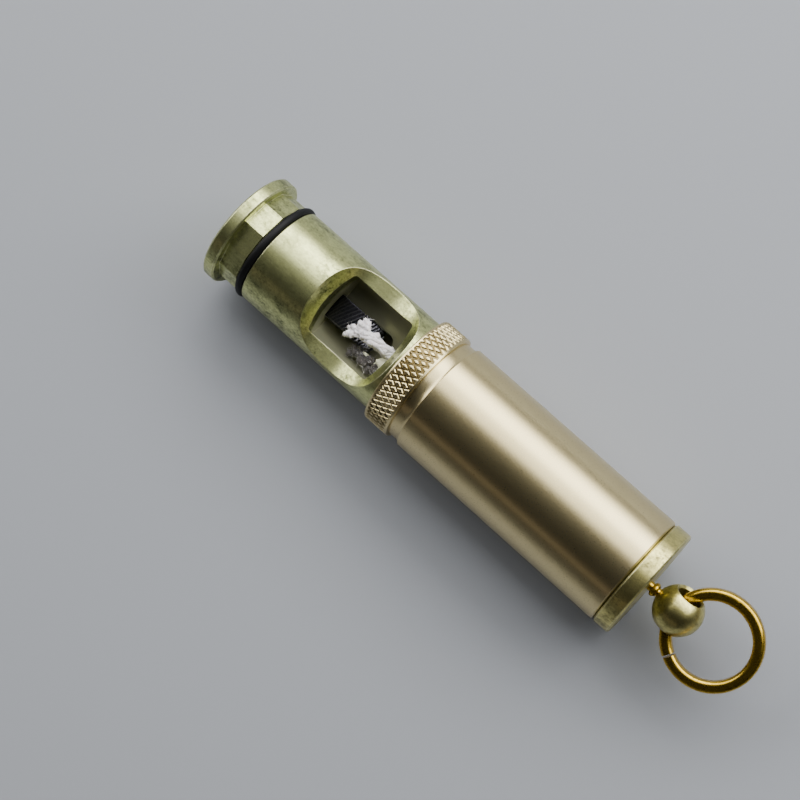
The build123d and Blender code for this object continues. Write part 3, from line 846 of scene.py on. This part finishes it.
def melt(name, lumps, ruffle, sooty):
    """Melts (centre, radius) lumps into one ruffled skin."""
    shell = bmesh.new()
    for centre, radius in lumps:
        place = Matrix.Translation(Vector(centre))
        bmesh.ops.create_icosphere(shell, subdivisions=2, radius=radius, matrix=place)
    mesh = bpy.data.meshes.new(name)
    shell.to_mesh(mesh)
    shell.free()
    big = bpy.data.objects.new(name + "_big", mesh)
    bpy.context.scene.collection.objects.link(big)
    skin = big.modifiers.new("skin", "REMESH")
    skin.mode = "VOXEL"
    skin.voxel_size = VOXEL
    bpy.context.view_layer.update()
    evaluated = big.evaluated_get(bpy.context.evaluated_depsgraph_get())
    melted = bpy.data.meshes.new_from_object(evaluated)
    melted.name = name
    bpy.data.objects.remove(big)
    for vertex, normal in zip(melted.vertices, [v.normal.copy() for v in melted.vertices]):
        place = vertex.co * ruffle_scale
        push = noise.fractal(place, ruffle_smoothness, ruffle_step, ruffle_layers)
        vertex.co = (vertex.co + normal * ruffle * push) * MM
    patches = [max(0, noise.noise(v.co / MM * patch_scale)) for v in melted.vertices]
    soot = [sooty + (1 - sooty) * patch_soot * patch for patch in patches]
    melted.attributes.new("soot", "FLOAT", "POINT").data.foreach_set("value", soot)
    return settle(name, melted, sharp_above=120)


draw = np.random.default_rng(7)
print("voxels of", VOXEL, "mm")

# %% Mop
tufts, balls_in_tuft, balls_on_cord = 15, 5, 30
tuft_ball, tuft_thins, tuft_uneven, tuft_scatter = 0.42, 0.14, 0.05, 0.09
cord_ball, cord_uneven, cord_scatter = 0.34, 0.2, 0.24
mop_root = np.array((19.6, -0.25, 1.5))
first_tip = np.array((18.75, 1.2, 1.75))
last_tip = np.array((17.45, -1.65, 1.75))

lumps = []
for tuft in range(tufts):
    tip = first_tip + (last_tip - first_tip) * tuft / (tufts - 1)
    tip = tip + (0.2 * draw.normal(), 0, 0.12 * draw.normal())
    for step in range(balls_in_tuft):
        share = (step + 1) / balls_in_tuft
        centre = mop_root + (tip - mop_root) * share + tuft_scatter * draw.normal(size=3)
        lumps.append((centre, tuft_ball - tuft_thins * share + tuft_uneven * draw.random()))
for step in range(balls_on_cord):
    share = 0.15 + 0.85 * step / (balls_on_cord - 1)
    centre = along_route(cord_route, share) + cord_scatter * draw.normal(size=3)
    lumps.append((centre, cord_ball + cord_uneven * draw.random()))
mop = melt("wick_mop", lumps, ruffle=0.2, sooty=0.0)
dress(mop, "barrel", "cotton", "wick")

# %% [markdown]
# ## The charred fluff
#
# Below the mop lies a strip of fluff that the flame has burnt nearly black. It is the same cotton,
# so it is melted from balls in the same way, but strewn along a line, ruffled more and sooty all
# over. A darker copy of the mop would be simpler, but burnt fluff is ragged where the mop is plump.

# %% Charred fluff
char_balls = 34
char_start = np.array((19.2, -2.2, 0.25))
char_end = np.array((22.7, -2.55, 0.25))
char_spread = np.array((0.38, 0.38, 0.228))

char_lumps = []
for ball in range(char_balls):
    along = char_start + (char_end - char_start) * draw.random()
    centre = along + char_spread * draw.normal(size=3)
    char_lumps.append((centre, 0.25 + 0.2 * draw.random()))
fluff = melt("wick_charred_fluff", char_lumps, ruffle=0.34, sooty=0.97)
dress(fluff, "barrel", "cotton", "wick")

# %% [markdown]
# ## Stray fibres
#
# What makes cotton look like cotton is the halo of single fibres around it. A hair system could
# grow them, but short modelled tubes export as they are. Each starts just inside a lump or the
# cord, heads off in a random direction, bends, and thins towards its tip. Some of those on the
# fluff have burnt through and some are still white.


# %% Stray fibres
mop_strays, cord_strays, char_strays = 560, 540, 400
stray_steps = 8
stray_root = 0.7
stray_bend = 0.5
stray_thin, stray_uneven = 0.013, 0.012
stray_taper = 0.6


def stray(centre, radius, reach, sooty):
    """One bent, thinning fibre that sticks out of a lump."""
    way = draw.normal(size=3)
    way /= np.linalg.norm(way)
    bend = draw.normal(size=3) * stray_bend
    shares = [step / (stray_steps - 1) for step in range(stray_steps)]
    points = [
        np.array(centre) + way * (radius * stray_root + reach * share) + bend * share**2 * reach
        for share in shares
    ]
    thick = stray_thin + stray_uneven * draw.random()
    return points, [thick * (1 - stray_taper * share) for share in shares], sooty


strays = []
for fibre in range(mop_strays):
    centre, radius = lumps[draw.integers(len(lumps))]
    strays.append(stray(centre, radius, reach=0.3, sooty=0.0))
for fibre in range(cord_strays):
    centre = along_route(cord_route, 0.25 + 0.7 * draw.random())
    strays.append(stray(centre, radius=0.7, reach=0.22, sooty=0.0))
for fibre in range(char_strays):
    centre, radius = char_lumps[draw.integers(len(char_lumps))]
    sooty = float(draw.choice([0.05, 0.6, 0.9], p=[0.2, 0.3, 0.5]))
    strays.append(stray(centre, radius, reach=0.5, sooty=sooty))
stray_fibres = fibre_mesh("wick_stray_fibres", strays, 4)
dress(stray_fibres, "barrel", "cotton", "wick")

# %% [markdown]
# ## Floor
#
# The floor is a sheet of plain pale paper, just under the lighter. It is a single face, wide enough
# to fill every view, and it has no pattern, because nothing should draw the eye from the metal.

# %% Floor
floor_z = cad_box[0][2] - 0.05 * MM
floor_half = 1.5
corners = [(x * floor_half, y * floor_half, floor_z) for x, y in ((-1, -1), (1, -1), (1, 1), (-1, 1))]
mesh = bpy.data.meshes.new("floor")
mesh.from_pydata(corners, [], [(0, 1, 2, 3)])
floor = bpy.data.objects.new("floor", mesh)
bpy.context.scene.collection.objects.link(floor)
paper, tree, shader, place = start_finish("paper_backdrop", Roughness=0.85)
shader.inputs["Base Color"].default_value = linear("8F9297")
floor.data.materials.append(paper)
print("floor at z", round(floor_z / MM, 2), "mm")

# %% [markdown]
# ## Lights
#
# Shiny metal shows little but the lights around it. Two softboxes hang on the +Y side, and their
# long reflection runs down the whole tube. The smaller one is the brighter, so the reflection has
# a bright core and a soft edge, which one even lamp can't give. A third lights the flange's face,
# and a faint warm strip on the far side keeps the shadow edge from going dead.


# %% Lights
def softbox(name, way, distance, across, along, watts, colour="FFFFFF"):
    """A rectangular lamp that looks at the middle of the tube from one direction."""
    data = bpy.data.lights.new(name, "AREA")
    data.shape = "RECTANGLE"
    data.size, data.size_y = along, across
    data.energy = watts
    data.color = linear(colour)[:3]
    lamp = bpy.data.objects.new(name, data)
    middle = Vector((0.035, 0, 0))
    back = Vector(way).normalized()
    side = Vector((1, 0, 0))
    side = (side - side.dot(back) * back).normalized()
    turn = Matrix((side, back.cross(side), back)).transposed()
    lamp.matrix_world = Matrix.Translation(middle + back * distance) @ turn.to_4x4()
    bpy.context.scene.collection.objects.link(lamp)
    print(name, watts, "W at", [round(value, 3) for value in lamp.location])


def tilted(degrees):
    """The direction leaning this far from straight up towards +Y."""
    return (0, math.sin(math.radians(degrees)), math.cos(math.radians(degrees)))


softbox("key_core", tilted(50), distance=0.34, across=0.16, along=0.7, watts=1.5)
softbox("key_wrap", tilted(43), distance=0.38, across=0.44, along=0.7, watts=2.9)
softbox("end_softbox", (-0.85, 0.1, 0.55), distance=0.7, across=0.5, along=0.6, watts=4.2)
softbox(
    "edge_strip", tilted(-62), distance=0.4, across=0.05, along=0.5, watts=0.025, colour="FFEEDD"
)

# %% [markdown]
# ## Air
#
# The air adds a little light from near the horizon and almost none from above, so that the dark
# side stays dark. An even grey would be simpler, but it would lift every reflection alike.

# %% Air
world = bpy.data.worlds.new("air")
world.use_nodes = True
tree = world.node_tree
sky = add(tree, "TexCoord").outputs["Generated"]
upwards = add(tree, "SeparateXYZ", {0: sky}).outputs["Z"]
dimming = {"From Min": 0.0, "From Max": 0.4, "To Min": 0.16, "To Max": 0.015}
strength = add(tree, "MapRange", {"Value": upwards, **dimming}).outputs[0]
background = tree.nodes["Background"]
background.inputs["Color"].default_value = linear("E2E4E8")
tree.links.new(strength, background.inputs["Strength"])
bpy.context.scene.world = world
print("air:", dimming["To Min"], "at the horizon,", dimming["To Max"], "above")
